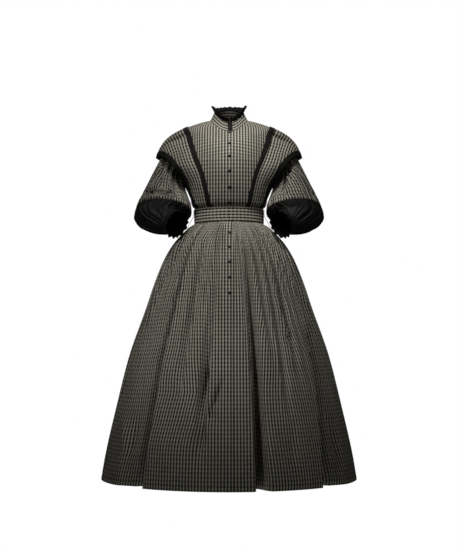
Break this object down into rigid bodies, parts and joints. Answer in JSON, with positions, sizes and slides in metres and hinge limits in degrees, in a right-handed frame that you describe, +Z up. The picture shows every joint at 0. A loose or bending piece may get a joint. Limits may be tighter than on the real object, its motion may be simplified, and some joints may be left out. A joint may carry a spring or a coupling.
{
  "type": "day dress with stand collar, bretelles, puffed sleeves and gathered skirt, in its worn form",
  "caption": "Worn-form day dress in a small check: frilled stand collar, shoulder bretelles edged in dark ribbon, puffed sleeves in dark bands, belt and full gathered skirt.",
  "frame": {"origin": "between the shoulders, level with the points where the shoulder seams meet the neck, inside the neck opening: where the wearer holds the dress up", "axes": "+Z up, front faces -Y, the wearer's left is at +X"},
  "size_m": [0.932, 0.9106, 1.3901],
  "materials": {
    "check_cloth": "matte woven cotton in a small dark and greige check",
    "dark_ribbon": "black ribbon and band cloth with a slight sheen",
    "button": "black domed button"
  },
  "bodies": {
    "root": {"bodice_front_right": "check_cloth", "bodice_front_left": "check_cloth", "bodice_back": "check_cloth", "collar": "check_cloth", "collar_frill": "dark_ribbon", "front_frill": "dark_ribbon", "bretelle_right": "check_cloth", "bretelle_left": "check_cloth", "trim_inner_right": "dark_ribbon", "trim_inner_left": "dark_ribbon", "trim_outer_right": "dark_ribbon", "trim_outer_left": "dark_ribbon", "sleeve_right": "check_cloth", "sleeve_left": "check_cloth", "sleeve_band_right": "dark_ribbon", "sleeve_band_left": "dark_ribbon", "cuff_right": "dark_ribbon", "cuff_left": "dark_ribbon", "cuff_frill_right": "dark_ribbon", "cuff_frill_left": "dark_ribbon", "skirt_front_right": "check_cloth", "skirt_front_left": "check_cloth", "skirt_back_right": "check_cloth", "skirt_back_left": "check_cloth", "belt": "check_cloth", "belt_loop_right": "dark_ribbon", "belt_loop_left": "dark_ribbon", "button_01": "button", "button_02": "button", "button_03": "button", "button_04": "button", "button_05": "button", "button_06": "button", "button_07": "button", "button_08": "button", "button_09": "button", "button_10": "button", "button_11": "button"}
  },
  "joints": []
}
